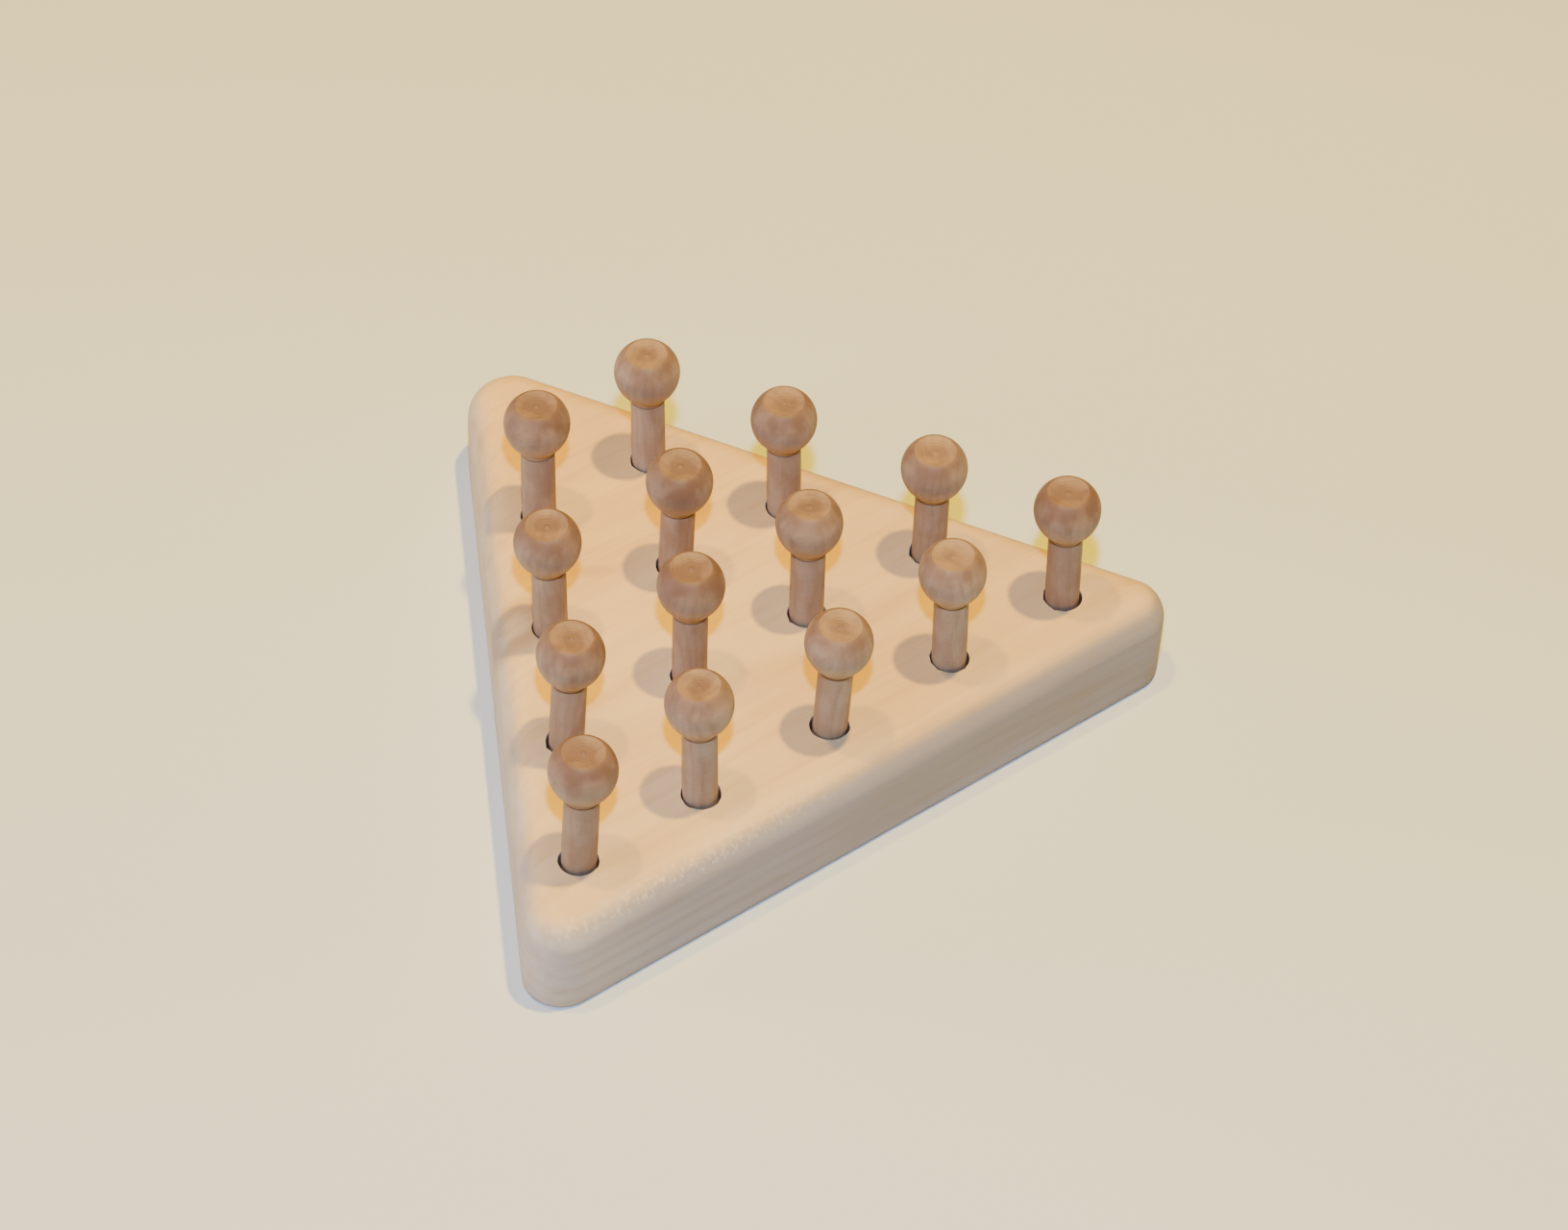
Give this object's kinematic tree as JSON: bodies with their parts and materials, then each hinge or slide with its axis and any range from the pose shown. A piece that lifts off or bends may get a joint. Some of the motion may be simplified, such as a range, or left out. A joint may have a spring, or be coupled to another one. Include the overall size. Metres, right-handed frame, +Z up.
{
  "type": "triangle peg solitaire board",
  "caption": "Triangular wooden peg jumping game: a rounded solid board with blind holes in a triangle, and ball-headed turned pegs that lift out of it.",
  "frame": {"origin": "middle of the triangle of holes, on the flat underside of the board", "axes": "+X along the front row of five holes, +Y towards the corner opposite that row, +Z up, the way the pegs lift out"},
  "size_m": [0.1317, 0.1143, 0.045],
  "materials": {
    "board_wood": "pale close-grained wood, sanded and unvarnished, edges rounded over",
    "peg_wood": "turned tan-brown hardwood, waxed, with a dark burnt groove at the neck"
  },
  "bodies": {
    "board": {"board": "board_wood"},
    "peg_row1_hole1": {"peg_row1_hole1": "peg_wood"},
    "peg_row1_hole2": {"peg_row1_hole2": "peg_wood"},
    "peg_row1_hole3": {"peg_row1_hole3": "peg_wood"},
    "peg_row1_hole4": {"peg_row1_hole4": "peg_wood"},
    "peg_row1_hole5": {"peg_row1_hole5": "peg_wood"},
    "peg_row2_hole1": {"peg_row2_hole1": "peg_wood"},
    "peg_row2_hole2": {"peg_row2_hole2": "peg_wood"},
    "peg_row2_hole3": {"peg_row2_hole3": "peg_wood"},
    "peg_row2_hole4": {"peg_row2_hole4": "peg_wood"},
    "peg_row3_hole1": {"peg_row3_hole1": "peg_wood"},
    "peg_row3_hole2": {"peg_row3_hole2": "peg_wood"},
    "peg_row3_hole3": {"peg_row3_hole3": "peg_wood"},
    "peg_row4_hole1": {"peg_row4_hole1": "peg_wood"},
    "peg_row4_hole2": {"peg_row4_hole2": "peg_wood"}
  },
  "joints": [
    {"name": "peg_row1_hole1_lift", "type": "slide", "parent": "board", "child": "peg_row1_hole1", "axis": [0, 0, 1], "range_m": [0, 0.04]},
    {"name": "peg_row1_hole2_lift", "type": "slide", "parent": "board", "child": "peg_row1_hole2", "axis": [0, 0, 1], "range_m": [0, 0.04]},
    {"name": "peg_row1_hole3_lift", "type": "slide", "parent": "board", "child": "peg_row1_hole3", "axis": [0, 0, 1], "range_m": [0, 0.04]},
    {"name": "peg_row1_hole4_lift", "type": "slide", "parent": "board", "child": "peg_row1_hole4", "axis": [0, 0, 1], "range_m": [0, 0.04]},
    {"name": "peg_row1_hole5_lift", "type": "slide", "parent": "board", "child": "peg_row1_hole5", "axis": [0, 0, 1], "range_m": [0, 0.04]},
    {"name": "peg_row2_hole1_lift", "type": "slide", "parent": "board", "child": "peg_row2_hole1", "axis": [0, 0, 1], "range_m": [0, 0.04]},
    {"name": "peg_row2_hole2_lift", "type": "slide", "parent": "board", "child": "peg_row2_hole2", "axis": [0, 0, 1], "range_m": [0, 0.04]},
    {"name": "peg_row2_hole3_lift", "type": "slide", "parent": "board", "child": "peg_row2_hole3", "axis": [0, 0, 1], "range_m": [0, 0.04]},
    {"name": "peg_row2_hole4_lift", "type": "slide", "parent": "board", "child": "peg_row2_hole4", "axis": [0, 0, 1], "range_m": [0, 0.04]},
    {"name": "peg_row3_hole1_lift", "type": "slide", "parent": "board", "child": "peg_row3_hole1", "axis": [0, 0, 1], "range_m": [0, 0.04]},
    {"name": "peg_row3_hole2_lift", "type": "slide", "parent": "board", "child": "peg_row3_hole2", "axis": [0, 0, 1], "range_m": [0, 0.04]},
    {"name": "peg_row3_hole3_lift", "type": "slide", "parent": "board", "child": "peg_row3_hole3", "axis": [0, 0, 1], "range_m": [0, 0.04]},
    {"name": "peg_row4_hole1_lift", "type": "slide", "parent": "board", "child": "peg_row4_hole1", "axis": [0, 0, 1], "range_m": [0, 0.04]},
    {"name": "peg_row4_hole2_lift", "type": "slide", "parent": "board", "child": "peg_row4_hole2", "axis": [0, 0, 1], "range_m": [0, 0.04]}
  ]
}
